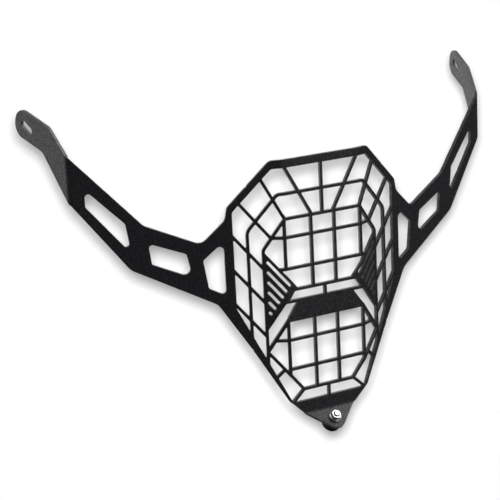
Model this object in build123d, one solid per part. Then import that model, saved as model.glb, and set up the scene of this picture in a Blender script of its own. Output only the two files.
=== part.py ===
"""Motorcycle headlight guard: a laser-cut, folded sheet with a rubber buffer at its foot.

The sheet is drawn flat, as it is cut, and then set on its facets. In the flat pattern u runs across
from the centre line and v runs up. The front panel stands in the XZ plane and faces -Y, so there u is
X and v is Z. The origin is on the centre line, in the middle of the sheet's thickness, level with the
middle of the upper lamp window. All sizes are millimetres.
"""
from build123d import *
import math
import os

# Sheet and folds
SHEET = 3.0
BEND_RADIUS = 3.0
WING_ANGLE = 19.0
WING_FOLD_U = 39.5
END_ANGLE = 56.0
END_FOLD_U = 225.0
FOOT_ANGLE = 48.0
FOOT_FOLD_V = -151.0

# Outer edge of the flat sheet, right half, from the top of the frame round to the foot: u, v, radius.
# The arm's tip is a flat between two round corners, which drops from its top corner at an angle.
TOP_V = 89.0
TOP_CORNER = (50.4, TOP_V, 8.0)
SHOULDER = (90.0, 50.0, 6.0)
NECK = (92.2, 38.8, 10.0)
VALLEY = (114.0, 19.1, 9.0)
ARM_ELBOW_TOP = (163.6, 40.7, 10.0)
END_ELBOW_TOP = (246.5, 130.5, 8.0)
END_TIP_TOP = (290.1, 145.3)
END_TIP_WIDTH = 25.6
END_TIP_FLAT = 1.6
END_TIP_ANGLE = -71.6
END_ELBOW_LOW = (258.0, 107.7, 9.0)
ARM_ELBOW_LOW = (177.2, 1.7, 14.0)
ARM_ROOT = (101.9, -37.6, 12.0)
CHEEK = (73.0, -83.0, 0.0)
CHIN = (42.2, -135.4, 10.0)
FOOT_TIP = (0.0, -177.0, 9.0)

# Inner edge of the frame, right half
FRAME_TOP_WIDTH = 7.6
FRAME_TOP = (49.0, TOP_V - FRAME_TOP_WIDTH, 4.0)
FRAME_SHOULDER = (85.5, 45.5, 5.0)
FRAME_CHEEK = (85.5, -43.3, 6.0)
FRAME_CHIN = (38.0, -137.8, 1.0)

# Bars of the grille
BAR = 2.9
SLANT_BAR = 3.4
RING_TOP = (44.6, 58.0, 6.0)
RING_SHOULDER = (72.8, 26.6, 10.0)
WINDOW_CORNER = (38.8, 35.2)
POST_U = 59.2
POST_TOP = (POST_U, 8.4)
POST_CURVE = 6.0
MULLION_U = 12.1
UPPER_RAILS_V = (18.0, -10.9)
RAIL_RISE = 0.9
PANEL_TOP = (POST_U, 5.0)
UPPER_SILL = (29.2, -31.1)
BAND_TOP = (26.7, -41.6)
BAND_FOOT_V = -60.5
LOWER_RAILS_V = (-77.8, -105.6)
LOWER_CORNER = (POST_U, -86.8)
LOWER_SILL = (26.4, -127.0)
STRUT_START_U = 44.3
STRUT_END = (53.5, -113.4)
CHIN_BAR_END = (39.5, -139.2)

# Rays that run out to the frame, from the windows' top edge, their corners and the side posts
STEEP_RAY_START_U = 10.9
STEEP_RAY_END = (38.5, FRAME_TOP[1] + BAR)
CORNER_RAY_END = (60.0, 75.1)
SHOULDER_RAY_START_U = 51.5
SHOULDER_RAY_END = (80.0, 53.7)
SIDE_RAY_V = -9.1
SIDE_RAY_RISE = 33.8
SIDE_RAY_END_U = 87.0
SIDE_RAY_PITCH = 31.5
SIDE_RAYS = 3

# Slotted panel beside the upper window
PANEL_NOSE_TOP_U = 30.8
PANEL_NOSE_LOW_U = 38.2
PANEL_NOSE_END_U = 39.5
PANEL_EDGE_ANGLE = 53.1
SLOT_WIDTH = 2.5
SLOT_PITCH = 9.35
SLOT_FROM_POST = 2.6
SLOT_DROP = 3.9
SLOT_END_RISE = 8.5
SLOT_SHORTEST_RUN = 2.5

# Windows in each arm, from the frame outwards: u, v, radius
ARM_WINDOWS = (
    ((94.1, 20.0, 4.0), (113.2, 4.3, 2.5), (109.3, -21.8, 2.5), (94.1, -29.6, 3.0)),
    ((127.5, 11.7, 3.0), (160.6, 24.4, 3.0), (158.3, 5.0, 2.0), (123.2, -10.2, 5.0)),
    ((179.5, 43.8, 3.0), (212.5, 77.4, 3.0), (212.5, 61.6, 2.0), (175.7, 17.0, 2.6)),
)

# Slot at the end of each arm, its middle measured from the tip's, and the bend marks in the outer edge
END_SLOT_FROM_TIP = (-15.75, -5.95)
END_SLOT_LENGTH = 16.5
END_SLOT_WIDTH = 6.6
END_SLOT_ANGLE = 31.0
NICK_RADIUS = 0.8
NICKS = ((72.2, 67.5), (CHEEK[0], CHEEK[1]))

# Buffer, stud and nut on the foot
BUFFER_DOWN = 11.0
BUFFER_DIAMETER = 18.0
BUFFER_LENGTH = 10.0
BUFFER_EDGE = 0.8
STUD_DIAMETER = 5.0
STUD_DEPTH = 6.0
STUD_END = 1.2
STUD_CHAMFER = 0.6
STUD_CLEARANCE = 0.1
STUD_HOLE = 5.5
NUT_FLATS = 8.0
NUT_HEIGHT = 5.0
FLANGE_DIAMETER = 11.8
FLANGE_THICKNESS = 1.2
FLANGE_SLOPE = 0.7
NUT_CHAMFER = 0.5

# Heights of the stud hole and of the join above the foot's bend, and the limits of the cutting shapes
STUD_V = FOOT_FOLD_V - BUFFER_DOWN
FOOT_JOIN_V = FOOT_FOLD_V + BEND_RADIUS + SHEET
MARGIN = 3.0 * SHEET
HIGH_V = END_TIP_TOP[1] + MARGIN
LOW_V = FOOT_TIP[1] - MARGIN


def rounded(corners):
    """Closed face through corners, each given as u, v and its radius."""
    points = [(u, v) for u, v, _ in corners]
    return make_face(FilletPolyline(*points, radius=[r for _, _, r in corners], close=True))


def both_sides(corners):
    """The corners of the right half, followed by their mirror image."""
    return list(corners) + [(-u, v, r) for u, v, r in reversed(corners) if u > 0]


def mirror_point(point):
    """The same point on the other side of the centre line."""
    return (-point[0], point[1])


def v_at(line, u):
    """Height at u on a straight line, given by two of its points."""
    (first_u, first_v), (last_u, last_v) = line
    return first_v + (last_v - first_v) * (u - first_u) / (last_u - first_u)


def u_at(line, v):
    """Distance from the centre line at height v on a straight line, given by two of its points."""
    (first_u, first_v), (last_u, last_v) = line
    return first_u + (last_u - first_u) * (v - first_v) / (last_v - first_v)


def bar(start, end, width=BAR):
    """Straight bar between two points of the flat pattern."""
    run = Vector(*end) - Vector(*start)
    middle = (Vector(*start) + Vector(*end)) / 2
    angle = math.degrees(math.atan2(run.Y, run.X))
    return Pos(middle.X, middle.Y) * Rot(0, 0, angle) * Rectangle(run.length, width)


def twin_bars(start, end, width=BAR):
    """A bar and its mirror image on the other side of the centre line."""
    return [bar(start, end, width), bar(mirror_point(start), mirror_point(end), width)]


def cross_bar(end):
    """Level bar across the centre line, from one end to its mirror image."""
    return bar(mirror_point(end), end)


def band_along(corners):
    """Bar that follows a rounded line through the corners of the right half, across to the left."""
    low = (corners[-1][0], LOW_V, 0.0)
    shape = rounded(both_sides(list(corners) + [low]))
    outer = offset(shape, BAR / 2, kind=Kind.INTERSECTION)
    inner = offset(shape, -BAR / 2, kind=Kind.INTERSECTION)
    return outer - inner


def polygon(points):
    """Straight-sided closed face."""
    return make_face(Polyline(*points, close=True))


def twin_faces(points):
    """A straight-sided face and its mirror image."""
    return [polygon(points), polygon([mirror_point(point) for point in points])]


def end_tip_low():
    """Lower corner of the arm's tip."""
    angle = math.radians(END_TIP_ANGLE)
    return (END_TIP_TOP[0] + END_TIP_WIDTH * math.cos(angle), END_TIP_TOP[1] + END_TIP_WIDTH * math.sin(angle))


def outer_edge():
    """The flat sheet with no opening in it."""
    tip_radius = (END_TIP_WIDTH - END_TIP_FLAT) / 2
    corners = (
        TOP_CORNER, SHOULDER, NECK, VALLEY, ARM_ELBOW_TOP, END_ELBOW_TOP, (*END_TIP_TOP, tip_radius),
        (*end_tip_low(), tip_radius), END_ELBOW_LOW, ARM_ELBOW_LOW, ARM_ROOT, CHEEK, CHIN, FOOT_TIP,
    )
    return rounded(both_sides(corners))


def rays():
    """Bars that run out from the windows, through the ring, to the frame."""
    window_edge = (WINDOW_CORNER, POST_TOP)
    shoulder_start = (SHOULDER_RAY_START_U, v_at(window_edge, SHOULDER_RAY_START_U))
    bars = [bar((0, WINDOW_CORNER[1]), (0, TOP_V))]
    bars += twin_bars((STEEP_RAY_START_U, WINDOW_CORNER[1]), STEEP_RAY_END)
    bars += twin_bars(WINDOW_CORNER, CORNER_RAY_END)
    bars += twin_bars(shoulder_start, SHOULDER_RAY_END)
    for number in range(SIDE_RAYS):
        start_v = SIDE_RAY_V - number * SIDE_RAY_PITCH
        bars += twin_bars((POST_U, start_v), (SIDE_RAY_END_U, start_v + SIDE_RAY_RISE))
    return bars


def rail_with_tips(v, edge):
    """Level rail across the front panel that climbs a little on the wings, to the window's edge."""
    tip_v = v + RAIL_RISE
    return [cross_bar((WING_FOLD_U, v))] + twin_bars((WING_FOLD_U, v), (u_at(edge, tip_v), tip_v))


def upper_window():
    """Bars across the upper lamp window."""
    window_edge = (WINDOW_CORNER, POST_TOP)
    panel_edge = (PANEL_TOP, UPPER_SILL)
    upper_rail_v, lower_rail_v = UPPER_RAILS_V
    bars = rail_with_tips(upper_rail_v, window_edge)
    bars.append(cross_bar((u_at(panel_edge, lower_rail_v), lower_rail_v)))
    bars.append(cross_bar((PANEL_NOSE_TOP_U + BAR / 2, UPPER_SILL[1])))
    bars += twin_bars((MULLION_U, WINDOW_CORNER[1]), (MULLION_U, UPPER_SILL[1]))
    bars += twin_bars((WING_FOLD_U, v_at(window_edge, WING_FOLD_U)), (WING_FOLD_U, lower_rail_v))
    bars += twin_bars(*panel_edge)
    return bars


def middle_band():
    """The solid band between the windows, with its short post, and the slotted panels beside it."""
    sill_v, band_v = UPPER_SILL[1], BAND_TOP[1]
    edge_slope = math.tan(math.radians(PANEL_EDGE_ANGLE))
    panel_foot = (POST_U, band_v - (POST_U - PANEL_NOSE_END_U) * edge_slope)
    faces = twin_faces((
        PANEL_TOP, UPPER_SILL, (PANEL_NOSE_TOP_U, sill_v), (PANEL_NOSE_LOW_U, band_v),
        (PANEL_NOSE_END_U, band_v), panel_foot,
    ))
    faces.append(cross_bar((PANEL_NOSE_END_U + BAR / 2 / edge_slope, band_v)))
    faces.append(bar((0, sill_v), (0, band_v)))
    foot = (u_at((BAND_TOP, LOWER_CORNER), BAND_FOOT_V), BAND_FOOT_V)
    faces.append(polygon((BAND_TOP, foot, mirror_point(foot), mirror_point(BAND_TOP))))
    return faces


def lower_window():
    """Bars across the lower lamp window and down to the chin."""
    slant_edge = (BAND_TOP, LOWER_CORNER)
    chin_edge = (LOWER_CORNER, LOWER_SILL)
    upper_rail_v, lower_rail_v = LOWER_RAILS_V
    bars = twin_bars(*slant_edge, SLANT_BAR) + twin_bars(*chin_edge)
    bars += rail_with_tips(upper_rail_v, slant_edge)
    bars += [cross_bar((WING_FOLD_U, lower_rail_v)), cross_bar(LOWER_SILL)]
    fold_top, fold_low = v_at(slant_edge, WING_FOLD_U), v_at(chin_edge, WING_FOLD_U)
    bars += twin_bars((WING_FOLD_U, fold_top), (WING_FOLD_U, fold_low))
    bars += twin_bars((MULLION_U, BAND_FOOT_V + BAR), (MULLION_U, LOWER_SILL[1]))
    bars += twin_bars((STRUT_START_U, v_at(chin_edge, STRUT_START_U)), STRUT_END)
    bars += twin_bars(LOWER_SILL, CHIN_BAR_END)
    bars.append(bar((0, LOWER_SILL[1]), (0, FRAME_CHIN[1])))
    return bars


def grille_cells():
    """The openings between the bars, with the plain corners that a narrow cut leaves."""
    opening = rounded(both_sides((FRAME_TOP, FRAME_SHOULDER, FRAME_CHEEK, FRAME_CHIN)))
    ring = band_along((RING_TOP, RING_SHOULDER))
    posts = band_along(((*WINDOW_CORNER, 0.0), (*POST_TOP, POST_CURVE)))
    solid = [ring, posts] + rays() + upper_window() + middle_band() + lower_window()
    return (opening - solid).faces()


def panel_slots():
    """Parallel round-ended slots beside the window, each shorter than the one above as the panel narrows."""
    top_edge = (PANEL_TOP, UPPER_SILL)
    outer_u = POST_U - SLOT_FROM_POST
    outer_v = v_at(top_edge, outer_u) - SLOT_DROP
    slope = (PANEL_TOP[1] - UPPER_SILL[1]) / (PANEL_TOP[0] - UPPER_SILL[0])
    angle = math.degrees(math.atan(slope))
    edge_slope = math.tan(math.radians(PANEL_EDGE_ANGLE))
    end_v = BAND_TOP[1] + SLOT_END_RISE + PANEL_NOSE_END_U * edge_slope
    run = outer_u - (end_v - outer_v + outer_u * slope) / (slope + edge_slope)
    slots = []
    while run > SLOT_SHORTEST_RUN:
        length = run / math.cos(math.radians(angle))
        for side in (1, -1):
            place = Pos(side * (outer_u - run / 2), outer_v - run * slope / 2) * Rot(0, 0, side * angle)
            slots.append(place * SlotOverall(length, SLOT_WIDTH))
        outer_v -= SLOT_PITCH
        run -= SLOT_PITCH / (slope + edge_slope)
    return slots


def arm_openings():
    """The windows of the arms, the fixing slots at their ends and the bend marks."""
    tip_low = end_tip_low()
    slot_u = (END_TIP_TOP[0] + tip_low[0]) / 2 + END_SLOT_FROM_TIP[0]
    slot_v = (END_TIP_TOP[1] + tip_low[1]) / 2 + END_SLOT_FROM_TIP[1]
    faces = []
    for side in (1, -1):
        for window in ARM_WINDOWS:
            faces.append(rounded([(side * u, v, r) for u, v, r in window]))
        place = Pos(side * slot_u, slot_v) * Rot(0, 0, side * END_SLOT_ANGLE)
        faces.append(place * SlotOverall(END_SLOT_LENGTH, END_SLOT_WIDTH))
        for u, v in NICKS:
            faces.append(Pos(side * u, v) * Circle(NICK_RADIUS))
    return faces


def flat_pattern():
    """The whole sheet as it is cut, before it is folded."""
    stud_hole = Pos(0, STUD_V) * Circle(STUD_HOLE / 2)
    return outer_edge() - grille_cells() - panel_slots() - arm_openings() - stud_hole


def offset_line(path, distance):
    """The points of a line that runs beside a path, with mitred corners."""
    moved = []
    for i, point in enumerate(path):
        before = (point - path[i - 1]).normalized() if i > 0 else None
        after = (path[i + 1] - point).normalized() if i + 1 < len(path) else None
        first, second = before or after, after or before
        middle = (first + second).normalized()
        shift = distance / first.dot(middle)
        moved.append(point + Vector(-middle.Y, middle.X) * shift)
    return moved


def bent_section(path):
    """Section of the bent sheet along a path, with round bends."""
    left, right = offset_line(path, SHEET / 2), offset_line(path, -SHEET / 2)
    left_radii, right_radii = [0.0], [0.0]
    for i in range(1, len(path) - 1):
        first, second = path[i] - path[i - 1], path[i + 1] - path[i]
        turns_left = first.cross(second).Z > 0
        left_radii.append(BEND_RADIUS if turns_left else BEND_RADIUS + SHEET)
        right_radii.append(BEND_RADIUS + SHEET if turns_left else BEND_RADIUS)
    radii = left_radii + [0.0] + [0.0] + right_radii[::-1]
    points = [(p.X, p.Y) for p in left + right[::-1]]
    return make_face(FilletPolyline(*points, radius=radii, close=True))


def blank_pieces(path):
    """The bent section cut at the middle of each bend, one face for each straight run."""
    section = bent_section(path)
    left, right = offset_line(path, MARGIN), offset_line(path, -MARGIN)
    pieces = []
    for i in range(len(path) - 1):
        corners = [left[i], left[i + 1], right[i + 1], right[i]]
        pieces.append(section & polygon([(p.X, p.Y) for p in corners]))
    return pieces


def facet(plane, blank, pattern, low, high):
    """One flat run of the folded sheet: the part of the pattern between two corners, in its blank."""
    size = (high[0] - low[0], high[1] - low[1])
    clip = Pos((low[0] + high[0]) / 2, (low[1] + high[1]) / 2) * Rectangle(*size)
    return extrude(plane * (pattern & clip), MARGIN, both=True) & blank


def foot_plane():
    """Plane of the foot's flat run, with the flat pattern's own u and v."""
    foot = math.radians(FOOT_ANGLE)
    up = Vector(0, math.sin(foot), math.cos(foot))
    origin = Vector(0, 0, FOOT_FOLD_V) - up * FOOT_FOLD_V
    return Plane(origin, x_dir=(1, 0, 0), z_dir=(0, -math.cos(foot), math.sin(foot)))


def folded_sheet():
    """The guard's sheet: front panel, two wings with their arm ends, and the foot."""
    pattern = flat_pattern()
    wing, end = math.radians(WING_ANGLE), math.radians(WING_ANGLE + END_ANGLE)
    wing_run = Vector(math.cos(wing), math.sin(wing))
    end_run = Vector(math.cos(end), math.sin(end))
    first_fold = Vector(WING_FOLD_U, 0)
    second_fold = first_fold + wing_run * (END_FOLD_U - WING_FOLD_U)
    tip = second_fold + end_run * (end_tip_low()[0] + MARGIN - END_FOLD_U)
    right_half = [first_fold, second_fold, tip]
    path = [Vector(-p.X, p.Y) for p in reversed(right_half)] + right_half
    level = [Plane.XY * Pos(0, 0, LOW_V) * piece for piece in blank_pieces(path)]
    front_blank, wing_blank, end_blank = (extrude(piece, HIGH_V - LOW_V) for piece in level[2:])

    front_plane = Plane(origin=(0, 0, 0), x_dir=(1, 0, 0), z_dir=(0, -1, 0))
    wing_origin = first_fold - wing_run * WING_FOLD_U
    wing_plane = Plane(wing_origin, x_dir=wing_run, z_dir=(wing_run.Y, -wing_run.X, 0))
    end_origin = second_fold - end_run * END_FOLD_U
    end_plane = Plane(end_origin, x_dir=end_run, z_dir=(end_run.Y, -end_run.X, 0))

    foot = math.radians(FOOT_ANGLE)
    foot_run = Vector(-math.sin(foot), -math.cos(foot))
    foot_fold = Vector(0, FOOT_FOLD_V)
    foot_tip = foot_fold + foot_run * (FOOT_FOLD_V - LOW_V)
    foot_path = [Vector(0, FOOT_JOIN_V), foot_fold, foot_tip]
    width = WING_FOLD_U + MARGIN
    upright = [Plane.YZ * Pos(0, 0, -width) * piece for piece in blank_pieces(foot_path)]
    root_blank, foot_blank = (extrude(piece, 2 * width) for piece in upright)

    front = facet(front_plane, front_blank, pattern, (-width, FOOT_JOIN_V), (width, HIGH_V))
    inner_u = WING_FOLD_U - MARGIN
    wing_part = facet(wing_plane, wing_blank, pattern, (inner_u, LOW_V), (END_FOLD_U + MARGIN, HIGH_V))
    end_u = END_FOLD_U - MARGIN
    end_part = facet(end_plane, end_blank, pattern, (end_u, LOW_V), (end_tip_low()[0] + MARGIN, HIGH_V))
    root = facet(front_plane, root_blank, pattern, (-width, LOW_V), (width, FOOT_JOIN_V))
    foot_part = facet(foot_plane(), foot_blank, pattern, (-width, LOW_V), (width, FOOT_JOIN_V))
    side = wing_part + end_part
    sheet = front + side + mirror(side, about=Plane.YZ) + root + foot_part
    return sheet.clean()


def rubber_buffer():
    """Round rubber buffer under the foot, with the blind bore that its stud is bonded in."""
    body = Pos(0, 0, -SHEET / 2 - BUFFER_LENGTH) * extrude(Circle(BUFFER_DIAMETER / 2), BUFFER_LENGTH)
    body = chamfer(body.edges().sort_by(Axis.Z)[0], BUFFER_EDGE)
    bore = Circle(STUD_DIAMETER / 2 + STUD_CLEARANCE)
    return body - Pos(0, 0, -SHEET / 2 - STUD_DEPTH) * extrude(bore, STUD_DEPTH)


def buffer_stud():
    """Stud from inside the buffer, up through the foot and the nut."""
    bottom = -SHEET / 2 - STUD_DEPTH
    length = SHEET / 2 + NUT_HEIGHT + STUD_END - bottom
    rod = Pos(0, 0, bottom) * extrude(Circle(STUD_DIAMETER / 2), length)
    return chamfer(rod.edges().sort_by(Axis.Z)[-1], STUD_CHAMFER)


def flange_nut():
    """Hexagon nut with its round flange, seated on the foot's upper face."""
    hexagon = extrude(RegularPolygon(NUT_FLATS / 2, 6, major_radius=False), NUT_HEIGHT)
    flats_cone = Pos(0, 0, NUT_HEIGHT / 2) * Cylinder(NUT_FLATS / math.sqrt(3), NUT_HEIGHT)
    flats_cone = chamfer(flats_cone.edges().sort_by(Axis.Z)[-1], NUT_CHAMFER)
    flange = extrude(Circle(FLANGE_DIAMETER / 2), FLANGE_THICKNESS)
    slope = Pos(0, 0, FLANGE_THICKNESS + FLANGE_SLOPE / 2) * Cone(
        FLANGE_DIAMETER / 2, NUT_FLATS / 2, FLANGE_SLOPE)
    nut = (hexagon & flats_cone) + flange + slope
    return nut - extrude(Circle(STUD_DIAMETER / 2 + STUD_CLEARANCE), NUT_HEIGHT)


def build():
    """Every piece of the guard in its place, by node name."""
    hole_place = foot_plane().location * Pos(0, STUD_V)
    return {
        "guard_sheet": folded_sheet(),
        "rubber_buffer": hole_place * rubber_buffer(),
        "buffer_stud": hole_place * buffer_stud(),
        "flange_nut": hole_place * Pos(0, 0, SHEET / 2) * flange_nut(),
    }


if __name__ == "__main__":
    os.makedirs("parts", exist_ok=True)
    for name, piece in build().items():
        export_step(piece, f"parts/{name}.step")
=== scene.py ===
"""Looks of the motorcycle headlight guard: a folded, laser-cut sheet under black powder coat.

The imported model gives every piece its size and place. This script rounds the sheet's cut edges and its
cells' corners, cuts the stud's thread, turns the rubber and the nut finely, and dresses each piece in its
own finish. Lengths are metres, unless a name says otherwise.
"""

import logging
import math
from collections import Counter
from collections.abc import Callable, Sequence
from dataclasses import dataclass, field
from enum import Enum

import bmesh
import bpy
from mathutils import Matrix, Vector


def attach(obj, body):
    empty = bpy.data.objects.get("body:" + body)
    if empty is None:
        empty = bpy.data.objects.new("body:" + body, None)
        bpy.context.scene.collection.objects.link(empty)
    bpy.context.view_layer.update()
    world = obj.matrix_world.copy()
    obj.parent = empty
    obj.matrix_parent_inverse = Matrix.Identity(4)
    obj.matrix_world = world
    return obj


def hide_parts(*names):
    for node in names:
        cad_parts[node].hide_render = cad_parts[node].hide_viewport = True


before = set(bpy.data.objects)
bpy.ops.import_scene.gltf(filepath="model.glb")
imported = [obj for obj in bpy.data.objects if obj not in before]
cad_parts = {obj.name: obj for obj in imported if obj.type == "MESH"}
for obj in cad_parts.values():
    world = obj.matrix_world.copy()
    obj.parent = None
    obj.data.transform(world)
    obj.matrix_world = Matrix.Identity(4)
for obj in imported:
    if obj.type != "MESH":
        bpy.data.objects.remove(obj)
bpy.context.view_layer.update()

MM = 0.001
Colour = tuple[float, float, float]
Row = tuple[Callable[[float], float], float]
Plane = tuple[Vector, float]
Facet = tuple[Vector, float, list[bmesh.types.BMFace]]
Span = tuple[float, float]
WHITE: Colour = (1.0, 1.0, 1.0)
# Digits of a normal that tell a mesh's planes apart, and the power to which a plane's area counts.
NORMAL_DIGITS = 3
BREADTH_POWER = 2
# The bevel's profile that is a part of a circle.
ROUND_PROFILE = 0.5
# Half of the angle that one side of a hexagon spans.
HALF_SIDE = math.pi / 6

log = logging.getLogger("headlight_guard")


class Coat(Enum):
    """The finishes that the guard's pieces wear."""

    POWDER = "black_powder_coat"
    RUBBER = "black_rubber"
    ZINC = "plated_steel"


class ShaderTree:
    """Short ways to place and join the nodes of one shader tree.

    A Mix node has sockets of the same names for numbers and for colours, so those for colours are numbered.
    """

    MIX_FIRST = 6
    MIX_SECOND = 7
    MIX_RESULT = 2

    def __init__(self, tree: bpy.types.NodeTree) -> None:
        """Takes the tree of a material, a world or a group, and empties it."""
        self.tree = tree
        self.tree.nodes.clear()

    def add(self, kind: str, **settings: object) -> bpy.types.Node:
        """Places a node.

        Args:
            kind: the node's type name.
            settings: values of the node's own properties.

        Returns:
            The new node.
        """
        node = self.tree.nodes.new(kind)
        for name, value in settings.items():
            setattr(node, name, value)
        return node

    def feed(self, socket: bpy.types.NodeSocket, value: object) -> None:
        """Gives an input its value.

        Args:
            socket: the input.
            value: an output to join to it, a number or a colour.
        """
        if isinstance(value, bpy.types.NodeSocket):
            self.tree.links.new(value, socket)
        elif isinstance(value, tuple):
            socket.default_value = (*value, 1.0)
        else:
            socket.default_value = value

    def math(self, operation: str, *values: object) -> bpy.types.NodeSocket:
        """Arithmetic on numbers.

        Args:
            operation: the Math node's operation.
            values: its inputs, as outputs or numbers.

        Returns:
            The result.
        """
        node = self.add("ShaderNodeMath", operation=operation)
        for socket, value in zip(node.inputs, values):
            self.feed(socket, value)
        return node.outputs[0]

    def noise(self, place: bpy.types.NodeSocket, scale: object, detail: float) -> bpy.types.NodeSocket:
        """Smooth noise.

        Args:
            place: where the noise is read.
            scale: how many waves it has in a metre.
            detail: how many finer layers it has.

        Returns:
            The noise's value, about 0.5 on average.
        """
        node = self.add("ShaderNodeTexNoise")
        self.feed(node.inputs["Vector"], place)
        self.feed(node.inputs["Scale"], scale)
        self.feed(node.inputs["Detail"], detail)
        return node.outputs["Fac"]

    def remap(self, value: bpy.types.NodeSocket, span: Span, first: float, last: float,
              smooth: bool = False) -> bpy.types.NodeSocket:
        """Stretches a value from one range to another, and holds it there.

        Args:
            value: what is stretched.
            span: the inputs that give first and last.
            first: the first output.
            last: the last output.
            smooth: whether the change eases in and out.

        Returns:
            The new value.
        """
        node = self.add("ShaderNodeMapRange", interpolation_type="SMOOTHSTEP" if smooth else "LINEAR")
        names = ("Value", "From Min", "From Max", "To Min", "To Max")
        for name, number in zip(names, (value, *span, first, last)):
            self.feed(node.inputs[name], number)
        return node.outputs["Result"]

    def blend(self, share: bpy.types.NodeSocket, first: object, second: object) -> bpy.types.NodeSocket:
        """Mixes two colours.

        Args:
            share: how much of the second there is.
            first: a colour, or the socket that gives it.
            second: a colour, or the socket that gives it.

        Returns:
            The mixed colour.
        """
        node = self.add("ShaderNodeMix", data_type="RGBA")
        self.feed(node.inputs["Factor"], share)
        self.feed(node.inputs[self.MIX_FIRST], first)
        self.feed(node.inputs[self.MIX_SECOND], second)
        return node.outputs[self.MIX_RESULT]

    def bump(self, height: bpy.types.NodeSocket, depth: float) -> bpy.types.NodeSocket:
        """Turns a height into a normal.

        Args:
            height: the height, from 0 to 1.
            depth: what a height of 1 measures, in metres.

        Returns:
            The new normal.
        """
        node = self.add("ShaderNodeBump")
        node.inputs["Strength"].default_value = 1.0
        node.inputs["Distance"].default_value = depth
        self.feed(node.inputs["Height"], height)
        return node.outputs["Normal"]


class SurfaceGroup:
    """Shader group that every finish uses: mottled tone and gloss, specks, lighter edges and grain.

    A detail is a noise's finer layers. A span is the part of a noise over which patches, specks, glints or
    lighter edges come up. The lighter edges are painted highlight on the powder coat, and wear on rubber
    and zinc.
    """

    NAME = "surface grain"
    EDGE_MASK = "edge_band"
    COLOURS = ("Tone", "Worn Tone", "Edge Tone")
    NUMBERS = ("Roughness", "Mottle", "Mottle Scale", "Speck", "Glossy Speck", "Grain Scale", "Edge Wear And Highlight")
    MOTTLE_DETAIL = 4.0
    GRAIN_DETAIL = 2.0
    PATCH_SPAN = (0.35, 0.7)
    SPECK_SPAN = (0.5, 0.72)
    GLINT_SPAN = (0.4, 0.62)
    WEAR_AND_HIGHLIGHT_SPAN = (0.3, 0.6)
    LEAST_WEAR_AND_HIGHLIGHT = 0.35
    GLOSS_SPREAD = 0.14

    def __init__(self) -> None:
        """Builds the group once."""
        self.group = bpy.data.node_groups.new(self.NAME, "ShaderNodeTree")
        sockets = self.group.interface
        for name in self.COLOURS:
            sockets.new_socket(name=name, in_out="INPUT", socket_type="NodeSocketColor")
        for name in self.NUMBERS:
            sockets.new_socket(name=name, in_out="INPUT", socket_type="NodeSocketFloat")
        sockets.new_socket(name="Colour", in_out="OUTPUT", socket_type="NodeSocketColor")
        for name in ("Roughness", "Grain", "Coat"):
            sockets.new_socket(name=name, in_out="OUTPUT", socket_type="NodeSocketFloat")
        tree = ShaderTree(self.group)
        given = tree.add("NodeGroupInput").outputs
        out = tree.add("NodeGroupOutput").inputs
        place = tree.add("ShaderNodeTexCoord").outputs["Object"]

        cloud = tree.noise(place, given["Mottle Scale"], self.MOTTLE_DETAIL)
        patch = tree.math("MULTIPLY", tree.remap(cloud, self.PATCH_SPAN, 0.0, 1.0), given["Mottle"])
        grain = tree.noise(place, given["Grain Scale"], self.GRAIN_DETAIL)
        speck = tree.math("MULTIPLY", tree.remap(grain, self.SPECK_SPAN, 0.0, 1.0), given["Speck"])
        lighter = tree.math("MAXIMUM", patch, speck)
        mottled = tree.blend(lighter, given["Tone"], given["Worn Tone"])

        # Lighter edges: painted highlight on the powder coat, where its cut edges and walls catch the
        # light; wear on rubber and zinc.
        edge = tree.add("ShaderNodeAttribute", attribute_name=self.EDGE_MASK).outputs["Fac"]
        patchy_wear_and_highlight = tree.math("MULTIPLY", tree.remap(cloud, self.WEAR_AND_HIGHLIGHT_SPAN, self.LEAST_WEAR_AND_HIGHLIGHT, 1.0), edge)
        wear_and_highlight = tree.math("MULTIPLY", patchy_wear_and_highlight, given["Edge Wear And Highlight"])
        tree.feed(out["Colour"], tree.blend(wear_and_highlight, mottled, given["Edge Tone"]))

        duller = tree.math("MULTIPLY_ADD", patch, self.GLOSS_SPREAD, given["Roughness"])
        tree.feed(out["Roughness"], tree.math("MULTIPLY_ADD", wear_and_highlight, -self.GLOSS_SPREAD, duller))
        tree.feed(out["Grain"], grain)
        glint = tree.remap(grain, self.GLINT_SPAN, 0.0, 1.0, smooth=True)
        tree.feed(out["Coat"], tree.math("MULTIPLY", glint, given["Glossy Speck"]))


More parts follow.
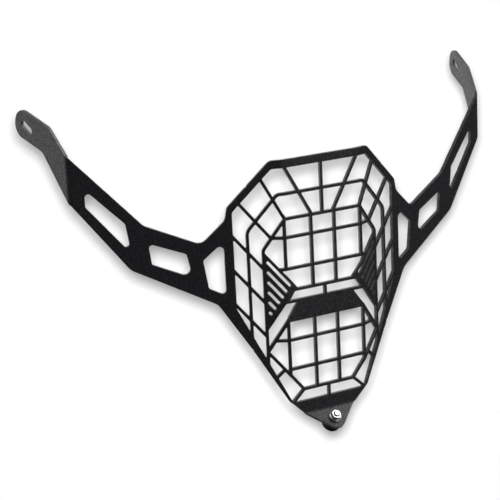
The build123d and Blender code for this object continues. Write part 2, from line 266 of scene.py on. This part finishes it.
@dataclass(frozen=True)
class Finish:
    """One finish: its tones, gloss and grain.

    Args:
        coat: the finish, whose name the material takes.
        tone: the main colour.
        worn_tone: the colour of its lighter patches and specks.
        edge_tone: the colour along the edges, which on the powder coat is a painted highlight.
        roughness: the roughness between the patches.
        metallic: 1 for bare metal.
        mottle: how strong the patches are.
        mottle_scale: patches in a metre.
        speck: how strong the lighter specks are.
        glossy_speck: how strong the glossy specks are.
        grain_scale: grains in a metre.
        grain_depth: height of the grain, in metres.
        edge_wear_and_highlight: how far the edges take their own colour.
        specular: the strength of the plain reflection.
    """

    coat: Coat
    tone: Colour
    worn_tone: Colour
    edge_tone: Colour
    roughness: float
    metallic: float
    mottle: float
    mottle_scale: float
    speck: float
    glossy_speck: float
    grain_scale: float
    grain_depth: float
    edge_wear_and_highlight: float
    specular: float

    def material(self, surface: SurfaceGroup) -> bpy.types.Material:
        """Makes the material.

        Args:
            surface: the group that gives the tone, the gloss and the grain.

        Returns:
            The finished material.
        """
        made = bpy.data.materials.new(self.coat.value)
        made.use_nodes = True
        tree = ShaderTree(made.node_tree)
        group = tree.add("ShaderNodeGroup", node_tree=surface.group)
        colours = (self.tone, self.worn_tone, self.edge_tone)
        numbers = (
            self.roughness, self.mottle, self.mottle_scale, self.speck, self.glossy_speck, self.grain_scale,
            self.edge_wear_and_highlight,
        )
        for name, value in zip(SurfaceGroup.COLOURS + SurfaceGroup.NUMBERS, colours + numbers):
            tree.feed(group.inputs[name], value)
        shader = tree.add("ShaderNodeBsdfPrincipled")
        shader.inputs["Metallic"].default_value = self.metallic
        shader.inputs["Specular IOR Level"].default_value = self.specular
        tree.feed(shader.inputs["Base Color"], group.outputs["Colour"])
        tree.feed(shader.inputs["Roughness"], group.outputs["Roughness"])
        tree.feed(shader.inputs["Normal"], tree.bump(group.outputs["Grain"], self.grain_depth))
        if self.glossy_speck:
            shader.inputs["Coat Roughness"].default_value = self.roughness
            tree.feed(shader.inputs["Coat Weight"], group.outputs["Coat"])
        tree.feed(tree.add("ShaderNodeOutputMaterial").inputs["Surface"], shader.outputs["BSDF"])
        return made


FINISHES = (
    # The powder coat's pale edge_tone is a painted highlight along its cut edges and walls.
    Finish(
        coat=Coat.POWDER, tone=(0.015, 0.0145, 0.018), worn_tone=(0.022, 0.0215, 0.026),
        edge_tone=(0.14, 0.14, 0.145), roughness=0.4, metallic=0.0, mottle=0.5, mottle_scale=220.0,
        speck=0.3, glossy_speck=1.0, grain_scale=1100.0, grain_depth=0.00025, edge_wear_and_highlight=0.8, specular=0.22,
    ),
    Finish(
        coat=Coat.RUBBER, tone=(0.005, 0.005, 0.005), worn_tone=(0.009, 0.009, 0.009),
        edge_tone=(0.012, 0.012, 0.012), roughness=0.62, metallic=0.0, mottle=0.7, mottle_scale=300.0,
        speck=0.5, glossy_speck=0.0, grain_scale=1800.0, grain_depth=0.00002, edge_wear_and_highlight=0.5, specular=0.2,
    ),
    Finish(
        coat=Coat.ZINC, tone=(0.55, 0.545, 0.535), worn_tone=(0.42, 0.415, 0.405),
        edge_tone=(0.75, 0.75, 0.74), roughness=0.16, metallic=1.0, mottle=0.6, mottle_scale=500.0,
        speck=0.3, glossy_speck=0.0, grain_scale=2500.0, grain_depth=0.000004, edge_wear_and_highlight=0.8, specular=0.5,
    ),
)


class FinishingShop:
    """Where the guard's pieces get their finishes, each made once."""

    def __init__(self) -> None:
        """Makes the shared group and the materials."""
        surface = SurfaceGroup()
        self.materials = {finish.coat: finish.material(surface) for finish in FINISHES}

    def dress(self, mesh: bpy.types.Mesh, node: str, coat: Coat) -> bpy.types.Object:
        """Makes a piece of a mesh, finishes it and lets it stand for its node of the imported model.

        Args:
            mesh: the new mesh, whose name the piece takes.
            node: the node that it replaces.
            coat: its finish.

        Returns:
            The finished piece.
        """
        mesh.materials.append(self.materials[coat])
        piece = bpy.data.objects.new(mesh.name, mesh)
        bpy.context.scene.collection.objects.link(piece)
        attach(piece, "root")
        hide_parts(node)
        return piece


def plane_key(normal: Vector, point: Vector, digits: int) -> tuple[float, ...]:
    """Names a plane by its rounded normal and its distance from the origin in tenths of a millimetre."""
    return (*(round(c, digits) for c in normal), round(normal.dot(point) / MM, 1))


def lay_broad_normals(mesh: bpy.types.Mesh) -> None:
    """Gives each vertex the normal of its broadest faces, so that flat faces stay flat beside round edges.

    Args:
        mesh: the mesh, which becomes smooth.
    """
    mesh.shade_smooth()
    planes = [plane_key(face.normal, face.center, NORMAL_DIGITS) for face in mesh.polygons]
    areas = Counter()
    for face, plane in zip(mesh.polygons, planes):
        areas[plane] += face.area
    normals = [Vector() for _ in mesh.vertices]
    for face, plane in zip(mesh.polygons, planes):
        for number in face.vertices:
            normals[number] += face.normal * face.area * areas[plane] ** BREADTH_POWER
    mesh.normals_split_custom_set_from_vertices([normal.normalized() for normal in normals])


def finished_mesh(shape: bmesh.types.BMesh, name: str, rims: list[bmesh.types.BMEdge], radius: float,
                  steps: int) -> bpy.types.Mesh:
    """Rounds the chosen edges, marks them for the finish and makes the mesh.

    Args:
        shape: the shape, which is freed.
        name: the mesh's name.
        rims: the edges that are rounded.
        radius: the radius of the rounded edges.
        steps: how many facets go round an edge.

    Returns:
        The mesh, with broad normals.
    """
    made = bmesh.ops.bevel(
        shape, geom=rims, offset=radius, offset_type="OFFSET", segments=steps, profile=ROUND_PROFILE,
        affect="EDGES", clamp_overlap=False,
    )
    shape.faces.index_update()
    # The edge mask carries the lighter edge colour: painted highlight on the powder coat, wear on rubber
    # and zinc.
    walls = shape.faces.layers.float.get(SurfaceGroup.EDGE_MASK)
    wear_and_highlight = [face[walls] if walls else 0.0 for face in shape.faces]
    for face in made["faces"]:
        wear_and_highlight[face.index] = 1.0
    mesh = bpy.data.meshes.new(name)
    shape.to_mesh(mesh)
    shape.free()
    mask = mesh.attributes.get(SurfaceGroup.EDGE_MASK)
    if mask is None:
        mask = mesh.attributes.new(SurfaceGroup.EDGE_MASK, "FLOAT", "FACE")
    mask.data.foreach_set("value", wear_and_highlight)
    lay_broad_normals(mesh)
    return mesh


@dataclass
class GuardSheet:
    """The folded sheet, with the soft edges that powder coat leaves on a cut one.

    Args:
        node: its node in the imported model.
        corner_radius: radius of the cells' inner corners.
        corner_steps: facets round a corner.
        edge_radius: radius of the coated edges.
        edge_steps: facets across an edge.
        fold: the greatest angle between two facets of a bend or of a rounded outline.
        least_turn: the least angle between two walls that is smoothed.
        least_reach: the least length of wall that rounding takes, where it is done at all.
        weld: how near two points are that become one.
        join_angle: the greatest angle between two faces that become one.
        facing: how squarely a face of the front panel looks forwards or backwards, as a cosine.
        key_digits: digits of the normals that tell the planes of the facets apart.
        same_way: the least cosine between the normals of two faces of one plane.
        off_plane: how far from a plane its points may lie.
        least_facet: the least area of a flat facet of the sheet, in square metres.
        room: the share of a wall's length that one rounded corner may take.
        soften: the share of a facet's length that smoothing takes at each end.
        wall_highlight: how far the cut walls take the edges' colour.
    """

    node: str = "guard_sheet"
    corner_radius: float = 0.6 * MM
    corner_steps: int = 4
    edge_radius: float = 0.32 * MM
    edge_steps: int = 2
    fold: float = math.radians(25.0)
    least_turn: float = math.radians(2.0)
    least_reach: float = 0.2 * MM
    weld: float = 0.02 * MM
    join_angle: float = math.radians(1.0)
    facing: float = 0.99
    key_digits: int = 2
    same_way: float = 0.99999
    off_plane: float = 0.005 * MM
    least_facet: float = 300.0 * MM * MM
    room: float = 0.42
    soften: float = 0.3
    wall_highlight: float = 0.85

    def build(self, shop: FinishingShop) -> bpy.types.Object:
        """Makes the sheet.

        Args:
            shop: where it gets its finish.

        Returns:
            The sheet.
        """
        shape = self.rounded_corners()
        mask = shape.faces.layers.float.new(SurfaceGroup.EDGE_MASK)
        skins = self.broad_faces(shape)
        # Painted highlight: the cut walls take much of the powder coat's pale edge colour, for the light
        # that they catch.
        for face in set(shape.faces) - skins:
            face[mask] = self.wall_highlight
        rims = [edge for edge in shape.edges if sum(face in skins for face in edge.link_faces) == 1]
        mesh = finished_mesh(shape, "guard_sheet_coated", rims, self.edge_radius, self.edge_steps)
        return shop.dress(mesh, self.node, Coat.POWDER)

    def joined_copy(self) -> bmesh.types.BMesh:
        """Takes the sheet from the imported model.

        Returns:
            A copy of the node's mesh, with its flat faces joined.
        """
        shape = bmesh.new()
        shape.from_mesh(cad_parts[self.node].data)
        bmesh.ops.remove_doubles(shape, verts=shape.verts, dist=self.weld)
        bmesh.ops.dissolve_limit(shape, angle_limit=self.join_angle, verts=shape.verts, edges=shape.edges)
        return shape

    def broad_faces(self, shape: bmesh.types.BMesh) -> set[bmesh.types.BMFace]:
        """The faces of the sheet's front and back, found by walking over the bends.

        Args:
            shape: the sheet.

        Returns:
            Every face that isn't a cut wall.
        """
        found = set()
        for side in (-1.0, 1.0):
            facing = (face for face in shape.faces if face.normal.y * side > self.facing)
            waiting = [max(facing, key=lambda face: face.calc_area())]
            while waiting:
                face = waiting.pop()
                if face in found:
                    continue
                found.add(face)
                for edge in face.edges:
                    if edge.calc_face_angle(math.pi) < self.fold:
                        waiting.extend(edge.link_faces)
        return found

    def flat_facets(self, skins: set[bmesh.types.BMFace]) -> list[Facet]:
        """The sheet's large flat facets, which are the panels between its bends.

        Args:
            skins: the broad faces.

        Returns:
            For each facet, its normal, its distance from the origin and its faces.
        """
        planes = {}
        for face in skins:
            key = plane_key(face.normal, face.calc_center_median(), self.key_digits)
            planes.setdefault(key, []).append(face)
        facets = []
        for faces in planes.values():
            if sum(face.calc_area() for face in faces) > self.least_facet:
                largest = max(faces, key=lambda face: face.calc_area())
                normal = largest.normal.copy()
                facets.append((normal, normal.dot(largest.verts[0].co), faces))
        return facets

    def reach(self, edge: bmesh.types.BMEdge, skins: set[bmesh.types.BMFace],
              flat: set[bmesh.types.BMFace]) -> float:
        """How far rounding reaches from an edge that runs through the sheet.

        Args:
            edge: any edge of the sheet.
            skins: the broad faces.
            flat: those of the flat facets.

        Returns:
            The length of wall that it takes on each side, or 0 where the edge stays as it is.
        """
        if len(edge.link_faces) != 2 or any(face in skins for face in edge.link_faces):
            return 0.0
        if any(face in skins and face not in flat for end in edge.verts for face in end.link_faces):
            return 0.0
        turn = edge.calc_face_angle(0.0)
        wall = min(face.calc_area() for face in edge.link_faces) / edge.calc_length()
        if turn < self.fold:
            length = wall * self.soften if turn > self.least_turn else 0.0
        elif edge.is_convex:
            length = 0.0
        else:
            length = min(self.corner_radius * math.tan(turn / 2), wall * self.room)
        return length if length > self.least_reach else 0.0

    def rounded_corners(self) -> bmesh.types.BMesh:
        """Takes the flat facets off the sheet, rounds its walls and lays the facets in again.

        Returns:
            The sheet with its cells' corners rounded and the facets of its round outlines smoothed.
        """
        shape = self.joined_copy()
        skins = self.broad_faces(shape)
        facets = self.flat_facets(skins)
        flat = {face for _, _, faces in facets for face in faces}
        reaches = [self.reach(edge, skins, flat) for edge in shape.edges]
        longest = max(reaches)
        weight = shape.edges.layers.float.new("bevel_weight_edge")
        for edge, length in zip(shape.edges, reaches):
            edge[weight] = length / longest
        planes = [(normal, distance) for normal, distance, _ in facets]
        flat = {face for face in self.broad_faces(shape) if self.lies_flat(face, planes)}
        bmesh.ops.delete(shape, geom=list(flat), context="FACES_ONLY")
        loose = [edge for edge in shape.edges if not edge.link_faces]
        bmesh.ops.delete(shape, geom=loose, context="EDGES")
        rounded = self.bevelled(shape, longest)
        bmesh.ops.remove_doubles(rounded, verts=rounded.verts, dist=self.weld)
        for plane in planes:
            rim = [edge for edge in rounded.edges if edge.is_boundary and self.on_plane(edge.verts, plane)]
            bmesh.ops.triangle_fill(rounded, use_beauty=True, edges=rim, normal=plane[0])
        bmesh.ops.recalc_face_normals(rounded, faces=rounded.faces)
        return rounded

    def on_plane(self, points: Sequence[bmesh.types.BMVert], plane: Plane) -> bool:
        """Whether every point lies in a plane."""
        normal, distance = plane
        return all(abs(point.co.dot(normal) - distance) < self.off_plane for point in points)

    def lies_flat(self, face: bmesh.types.BMFace, planes: list[Plane]) -> bool:
        """Whether a face lies in one of the planes."""
        alike = [plane for plane in planes if face.normal.dot(plane[0]) > self.same_way]
        return any(self.on_plane(face.verts[:1], plane) for plane in alike)

    def bevelled(self, shape: bmesh.types.BMesh, longest: float) -> bmesh.types.BMesh:
        """Rounds the edges that carry a weight.

        Args:
            shape: the open walls, which are freed.
            longest: the reach that a weight of 1 stands for.

        Returns:
            The rounded walls.
        """
        mesh = bpy.data.meshes.new("sharp_sheet")
        shape.to_mesh(mesh)
        shape.free()
        holder = bpy.data.objects.new("sharp_sheet", mesh)
        bpy.context.scene.collection.objects.link(holder)
        cut = holder.modifiers.new("corners", "BEVEL")
        cut.limit_method = "WEIGHT"
        cut.offset_type = "OFFSET"
        cut.width = longest
        cut.segments = self.corner_steps
        cut.use_clamp_overlap = False
        seen = holder.evaluated_get(bpy.context.evaluated_depsgraph_get())
        rounded = bmesh.new()
        rounded.from_mesh(seen.to_mesh())
        bpy.data.objects.remove(holder)
        bpy.data.meshes.remove(mesh)
        return rounded


@dataclass
class FastenerAxis:
    """The line through the stud, square to the foot.

    Args:
        foot_turn: how far the foot folds forward.
        line: the node whose middle lies on the line.
    """

    foot_turn: float = math.radians(48.0)
    line: str = "buffer_stud"

    def __post_init__(self) -> None:
        """Works out the directions and a point of the line."""
        self.along = Vector((0.0, -math.cos(self.foot_turn), math.sin(self.foot_turn)))
        self.side = Vector((1.0, 0.0, 0.0))
        self.up = self.along.cross(self.side)
        low, high = self.extent(self.line, self.up)
        self.middle = self.up * (low + high) / 2

    @staticmethod
    def extent(node: str, direction: Vector) -> tuple[float, float]:
        """The least and greatest reach of a node along a direction."""
        reaches = [vertex.co.dot(direction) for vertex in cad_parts[node].data.vertices]
        return min(reaches), max(reaches)

    def size(self, node: str) -> tuple[float, float, float]:
        """The least and greatest height of a node along the line, and its radius."""
        left, right = self.extent(node, self.side)
        return *self.extent(node, self.along), (right - left) / 2

    def turned(self, rows: list[Row], steps: int, closed: bool) -> bmesh.types.BMesh:
        """A shape turned about the line.

        Args:
            rows: for each ring, its radius at each turn, and its height along the line.
            steps: points round a ring.
            closed: whether the last ring joins the first, as round a bore.

        Returns:
            The shape, with its normals outwards.
        """
        shape = bmesh.new()
        rings = []
        for radius, height in rows:
            ring = []
            for step in range(steps):
                turn = 2 * math.pi * step / steps
                out = self.side * math.cos(turn) + self.up * math.sin(turn)
                ring.append(shape.verts.new(self.middle + self.along * height + out * radius(turn)))
            rings.append(ring)
        pairs = list(zip(rings, rings[1:]))
        if closed:
            pairs.append((rings[-1], rings[0]))
        else:
            shape.faces.new(rings[0])
            shape.faces.new(rings[-1])
        for first, second in pairs:
            for step in range(steps):
                after = (step + 1) % steps
                shape.faces.new((first[step], first[after], second[after], second[step]))
        bmesh.ops.recalc_face_normals(shape, faces=shape.faces)
        return shape


def round_row(radius: float, height: float) -> Row:
    """A ring of one radius."""
    return (lambda turn: radius), height


def sharp_edges(shape: bmesh.types.BMesh, angle: float) -> list[bmesh.types.BMEdge]:
    """The edges where two faces meet at more than an angle."""
    return [edge for edge in shape.edges if edge.calc_face_angle(0.0) > angle]


@dataclass
class RubberBuffer:
    """The round rubber under the foot, moulded round its stud.

    Args:
        axis: the line that it is turned about.
        node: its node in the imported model.
        bore: radius of the bore that the stud is bonded in.
        bore_depth: how deep the bore is.
        edge: the slope of its free edge.
        seam: height of the mould's seam round its side.
        seam_slope: how far the seam's sides run along the wall, times its height.
        rim_angle: the least angle between two faces whose edge is rounded.
        soft: radius of its edges.
        soft_steps: facets across an edge.
        steps: points round a ring.
    """

    axis: FastenerAxis
    node: str = "rubber_buffer"
    bore: float = 2.6 * MM
    bore_depth: float = 6.0 * MM
    edge: float = 0.8 * MM
    seam: float = 0.12 * MM
    seam_slope: float = 2.0
    rim_angle: float = math.radians(40.0)
    soft: float = 0.25 * MM
    soft_steps: int = 3
    steps: int = 96

    def build(self, shop: FinishingShop) -> bpy.types.Object:
        """Makes the buffer.

        Args:
            shop: where it gets its finish.

        Returns:
            The buffer.
        """
        low, high, outer = self.axis.size(self.node)
        wall = outer - self.seam
        middle = (low + high) / 2
        slope = self.seam_slope * self.seam
        rows = [round_row(self.bore, high - self.bore_depth), round_row(self.bore, high)]
        rows += [round_row(wall, high), round_row(wall, middle + slope), round_row(outer, middle)]
        rows += [round_row(wall, middle - slope), round_row(wall, low + self.edge)]
        rows.append(round_row(wall - self.edge, low))
        shape = self.axis.turned(rows, self.steps, closed=False)
        rims = sharp_edges(shape, self.rim_angle)
        mesh = finished_mesh(shape, "rubber_buffer_moulded", rims, self.soft, self.soft_steps)
        return shop.dress(mesh, self.node, Coat.RUBBER)


@dataclass
class BufferStud:
    """The stud with its thread.

    Args:
        axis: the line that it is turned about.
        node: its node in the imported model.
        pitch: from one thread to the next.
        thread_depth: from the crest to the root.
        groove_slope: how steep the thread's sides are; above 1 they leave it a flat root.
        chamfer: the cone at its end.
        rim_angle: the least angle between two faces whose edge is rounded.
        soft: width of the flat along such an edge.
        soft_steps: facets across an edge.
        rows_in_turn: rings in each turn of the thread.
        steps: points round a ring.
    """

    axis: FastenerAxis
    node: str = "buffer_stud"
    pitch: float = 0.8 * MM
    thread_depth: float = 0.45 * MM
    groove_slope: float = 1.3
    chamfer: float = 0.6 * MM
    rim_angle: float = math.radians(80.0)
    soft: float = 0.05 * MM
    soft_steps: int = 1
    rows_in_turn: int = 8
    steps: int = 48

    def build(self, shop: FinishingShop) -> bpy.types.Object:
        """Makes the stud.

        Args:
            shop: where it gets its finish.

        Returns:
            The stud.
        """
        low, high, crest = self.axis.size(self.node)
        count = round((high - low) / self.pitch * self.rows_in_turn)
        rows = []
        for number in range(count + 1):
            height = low + (high - low) * number / count
            limit = crest - max(0.0, self.chamfer - (high - height))
            rows.append((self.thread(height, crest, limit), height))
        shape = self.axis.turned(rows, self.steps, closed=False)
        rims = sharp_edges(shape, self.rim_angle)
        mesh = finished_mesh(shape, "stud_threaded", rims, self.soft, self.soft_steps)
        return shop.dress(mesh, self.node, Coat.ZINC)

    def groove(self, height: float, turn: float) -> float:
        """How deep the thread is at a height and a turn, where its root is 1."""
        phase = (height / self.pitch - turn / (2 * math.pi)) % 1.0
        return min(1.0, self.groove_slope * (1.0 - abs(2.0 * phase - 1.0)))

    def thread(self, height: float, crest: float, limit: float) -> Callable[[float], float]:
        """The radius at each turn of a ring of the thread, which is nowhere wider than the limit."""
        return lambda turn: min(limit, crest - self.thread_depth * self.groove(height, turn))


@dataclass
class FlangeNut:
    """The hexagon nut with its round flange.

    Args:
        axis: the line that it is turned about.
        node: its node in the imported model.
        flats: from the middle to a flat.
        flange_edge: height of the flange's rim.
        slope: height of the cone from the rim up to the flats.
        chamfer: the cone at the top corners.
        bore: radius of the hole.
        countersink: how wide the hole opens at the top.
        rim_angle: the least angle between two faces whose edge is rounded.
        edge: radius of the edges.
        edge_steps: facets across an edge.
        rows_in_cone: rings in each cone.
        steps: points round a ring.
    """

    axis: FastenerAxis
    node: str = "flange_nut"
    flats: float = 4.0 * MM
    flange_edge: float = 1.2 * MM
    slope: float = 0.7 * MM
    chamfer: float = 0.5 * MM
    bore: float = 2.6 * MM
    countersink: float = 0.5 * MM
    rim_angle: float = math.radians(28.0)
    edge: float = 0.12 * MM
    edge_steps: int = 2
    rows_in_cone: int = 6
    steps: int = 96

    def build(self, shop: FinishingShop) -> bpy.types.Object:
        """Makes the nut.

        Args:
            shop: where it gets its finish.

        Returns:
            The nut.
        """
        low, high, flange = self.axis.size(self.node)
        rim = low + self.flange_edge
        rows = [round_row(self.bore, low), round_row(flange, low), round_row(flange, rim)]
        for row in range(1, self.rows_in_cone + 1):
            share = row / self.rows_in_cone
            cone = flange + (self.flats - flange) * share
            rows.append((self.widest(cone), rim + self.slope * share))
        corner = self.flats / math.cos(HALF_SIDE)
        for row in range(self.rows_in_cone + 1):
            share = row / self.rows_in_cone
            cone = corner - self.chamfer * share
            rows.append((self.narrowest(cone), high - self.chamfer * (1 - share)))
        rows.append(round_row(self.bore + self.countersink, high))
        rows.append(round_row(self.bore, high - self.countersink))
        shape = self.axis.turned(rows, self.steps, closed=True)
        rims = sharp_edges(shape, self.rim_angle)
        mesh = finished_mesh(shape, "flange_nut_bright", rims, self.edge, self.edge_steps)
        return shop.dress(mesh, self.node, Coat.ZINC)

    def hexagon(self, turn: float) -> float:
        """The hexagon's radius at a turn."""
        from_flat = (turn + HALF_SIDE) % (2 * HALF_SIDE) - HALF_SIDE
        return self.flats / math.cos(from_flat)

    def widest(self, cone: float) -> Callable[[float], float]:
        """The radius of a ring where the hexagon stands out of a cone."""
        return lambda turn: max(cone, self.hexagon(turn))

    def narrowest(self, cone: float) -> Callable[[float], float]:
        """The radius of a ring where a cone cuts the hexagon."""
        return lambda turn: min(cone, self.hexagon(turn))


@dataclass
class PhotoCamera:
    """The camera at the photograph's place.

    Args:
        azimuth: turn about the upright axis, in degrees.
        elevation: height above the front panel's square, in degrees.
        roll: turn about the line of sight, in degrees.
        eye: where the camera stands.
        focal_pixels: focal length for a frame of frame_pixels.
        frame_pixels: width of the photograph.
        sensor: width of the sensor, in millimetres.
        clip_start: the nearest that it sees.
        clip_end: the farthest that it sees.
    """

    azimuth: float = 27.732
    elevation: float = 15.432
    roll: float = -2.966
    eye: tuple[float, float, float] = (-0.70387, -1.19715, 0.38648)
    focal_pixels: float = 1600.0
    frame_pixels: float = 500.0
    sensor: float = 36.0
    clip_start: float = 0.05
    clip_end: float = 50.0

    def axes(self) -> tuple[Vector, Vector, Vector]:
        """Works out how the camera stands.

        Returns:
            Its right, up and backward directions.
        """
        turn, lift, roll = (math.radians(a) for a in (self.azimuth, self.elevation, self.roll))
        right = Vector((math.cos(turn), -math.sin(turn), 0.0))
        up = Vector((math.sin(turn) * math.sin(lift), math.cos(turn) * math.sin(lift), math.cos(lift)))
        back = Vector((-math.sin(turn) * math.cos(lift), -math.cos(turn) * math.cos(lift), math.sin(lift)))
        rolled_right = right * math.cos(roll) + up * math.sin(roll)
        rolled_up = up * math.cos(roll) - right * math.sin(roll)
        return rolled_right, rolled_up, back

    def pose(self, place: Vector) -> Matrix:
        """The world matrix of something that stands at a place and looks as the camera does."""
        turned = Matrix(self.axes()).transposed().to_4x4()
        return Matrix.Translation(place) @ turned

    def build(self) -> None:
        """Makes the camera and gives it to the scene."""
        data = bpy.data.cameras.new("photo_camera")
        data.sensor_width = self.sensor
        data.lens = self.focal_pixels / self.frame_pixels * self.sensor
        data.clip_start = self.clip_start
        data.clip_end = self.clip_end
        camera = bpy.data.objects.new("photo_camera", data)
        camera.matrix_world = self.pose(Vector(self.eye))
        bpy.context.scene.collection.objects.link(camera)
        bpy.context.scene.camera = camera


@dataclass(frozen=True)
class TentPatch:
    """A soft bright patch of the light tent.

    Args:
        toward: the direction of its middle, from the guard.
        strength: how bright its middle is.
        start: the cosine of the angle at which it begins.
        full: the cosine of the angle at which it is at its brightest.
    """

    toward: tuple[float, float, float]
    strength: float
    start: float
    full: float


TENT_PATCHES = (
    TentPatch(toward=(0.7, -0.08, 0.69), strength=4.0, start=0.86, full=0.99),
    TentPatch(toward=(0.3, -0.1, 0.95), strength=1.6, start=0.75, full=0.95),
    TentPatch(toward=(-0.66, 0.74, -0.1), strength=1.3, start=0.6, full=0.95),
    TentPatch(toward=(0.45, 0.85, 0.1), strength=1.0, start=0.8, full=0.95),
    TentPatch(toward=(0.45, -0.88, 0.1), strength=1.3, start=0.88, full=1.0),
)


@dataclass
class Studio:
    """Pale paper behind the guard, a light tent round it and small lamps by the lens.

    Args:
        camera: the camera that the studio is set round.
        paper_distance: from the lamp window's middle back to the paper.
        paper_size: width and height of the paper.
        paper_tone: its colour.
        paper_glow: the light that the camera sees on top of what the lamps give.
        tent_base: strength of the tent between its patches.
        lamp_rise: height of the paper's lamp above the lens.
        lamp_radius: its radius.
        lamp_power: its power, in watts.
        fill_power: power of the soft lamp that lights the guard from the lens.
        fill_radius: its radius.
        fill_back: how far behind the lens it hangs.
    """

    camera: PhotoCamera = field(default_factory=PhotoCamera)
    paper_distance: float = 0.9
    paper_size: float = 1.2
    paper_tone: Colour = (0.74, 0.74, 0.74)
    paper_glow: float = 0.06
    tent_base: float = 0.1
    lamp_rise: float = 0.0152
    lamp_radius: float = 0.0195
    lamp_power: float = 216.0
    fill_power: float = 23.0
    fill_radius: float = 0.25
    fill_back: float = 0.5

    def build(self) -> None:
        """Sets up the whole studio."""
        paper = self.build_paper()
        self.build_tent()
        _, up, back = self.camera.axes()
        eye = Vector(self.camera.eye)
        shadow = self.build_lamp("paper_lamp", self.lamp_power, self.lamp_radius, eye + up * self.lamp_rise)
        lit = bpy.data.collections.new("lit_by_paper_lamp")
        lit.objects.link(paper)
        shadow.light_linking.receiver_collection = lit
        self.build_lamp("fill_lamp", self.fill_power, self.fill_radius, eye + back * self.fill_back)

    def build_paper(self) -> bpy.types.Object:
        """Lays the pale floor that the photograph shows behind the guard, square to the line of sight.

        Returns:
            The paper.
        """
        _, _, back = self.camera.axes()
        half = self.paper_size / 2
        corners = [(-half, -half, 0), (half, -half, 0), (half, half, 0), (-half, half, 0)]
        mesh = bpy.data.meshes.new("pale_paper")
        mesh.from_pydata(corners, [], [(0, 1, 2, 3)])
        paper = bpy.data.objects.new("pale_paper", mesh)
        paper.matrix_world = self.camera.pose(-back * self.paper_distance)
        paper.data.materials.append(self.paper_material())
        bpy.context.scene.collection.objects.link(paper)
        return paper

    def paper_material(self) -> bpy.types.Material:
        """Makes white paper, seen only from its front, with a glow for what looks straight at it.

        Returns:
            The material.
        """
        made = bpy.data.materials.new("pale_paper")
        made.use_nodes = True
        tree = ShaderTree(made.node_tree)
        diffuse = tree.add("ShaderNodeBsdfDiffuse")
        tree.feed(diffuse.inputs["Color"], self.paper_tone)
        glow = tree.add("ShaderNodeEmission")
        path = tree.add("ShaderNodeLightPath").outputs
        seen = tree.math("MAXIMUM", path["Is Camera Ray"], path["Is Glossy Ray"])
        seen = tree.math("MAXIMUM", seen, path["Is Transmission Ray"])
        tree.feed(glow.inputs["Strength"], tree.math("MULTIPLY", seen, self.paper_glow))
        lit = tree.add("ShaderNodeAddShader")
        tree.feed(lit.inputs[0], diffuse.outputs[0])
        tree.feed(lit.inputs[1], glow.outputs[0])
        front_only = tree.add("ShaderNodeMixShader")
        tree.feed(front_only.inputs["Fac"], tree.add("ShaderNodeNewGeometry").outputs["Backfacing"])
        tree.feed(front_only.inputs[1], lit.outputs[0])
        tree.feed(front_only.inputs[2], tree.add("ShaderNodeBsdfTransparent").outputs[0])
        tree.feed(tree.add("ShaderNodeOutputMaterial").inputs["Surface"], front_only.outputs[0])
        return made

    def build_tent(self) -> None:
        """Hangs the light tent, which is dim but for its soft patches, the brightest high on the right.

        The camera sees plain white where it looks past the paper.
        """
        world = bpy.data.worlds.new("light_tent")
        world.use_nodes = True
        tree = ShaderTree(world.node_tree)
        direction = tree.add("ShaderNodeTexCoord").outputs["Generated"]
        strength = self.tent_base
        for patch in TENT_PATCHES:
            toward = tree.add("ShaderNodeVectorMath", operation="DOT_PRODUCT")
            tree.feed(toward.inputs[0], direction)
            toward.inputs[1].default_value = Vector(patch.toward).normalized()
            span = (patch.start, patch.full)
            light = tree.remap(toward.outputs["Value"], span, 0.0, patch.strength, smooth=True)
            strength = tree.math("ADD", light, strength)
        tent = tree.add("ShaderNodeBackground")
        tree.feed(tent.inputs["Strength"], strength)
        plain = tree.add("ShaderNodeBackground")
        tree.feed(plain.inputs["Color"], WHITE)
        shown = tree.add("ShaderNodeMixShader")
        tree.feed(shown.inputs["Fac"], tree.add("ShaderNodeLightPath").outputs["Is Camera Ray"])
        tree.feed(shown.inputs[1], tent.outputs[0])
        tree.feed(shown.inputs[2], plain.outputs[0])
        tree.feed(tree.add("ShaderNodeOutputWorld").inputs["Surface"], shown.outputs[0])
        bpy.context.scene.world = world

    def build_lamp(self, name: str, power: float, radius: float, place: Vector) -> bpy.types.Object:
        """A round lamp that no gloss shows.

        Args:
            name: its name.
            power: in watts.
            radius: its radius.
            place: where it hangs.

        Returns:
            The lamp.
        """
        data = bpy.data.lights.new(name, "POINT")
        data.energy = power
        data.shadow_soft_size = radius
        lamp = bpy.data.objects.new(name, data)
        lamp.matrix_world = self.camera.pose(place)
        lamp.visible_glossy = False
        bpy.context.scene.collection.objects.link(lamp)
        return lamp


def main() -> None:
    """Builds the camera, the studio and every piece in order."""
    logging.basicConfig(level=logging.INFO, format="%(name)s: %(message)s")
    bpy.context.scene.view_settings.view_transform = "Standard"
    studio = Studio()
    studio.camera.build()
    studio.build()
    log.info("set up the camera, the paper, the light tent and the lamps")
    shop = FinishingShop()
    axis = FastenerAxis()
    for maker in (GuardSheet(), RubberBuffer(axis), BufferStud(axis), FlangeNut(axis)):
        piece = maker.build(shop)
        log.info("built %s: %d faces", piece.name, len(piece.data.polygons))


if __name__ == "__main__":
    main()
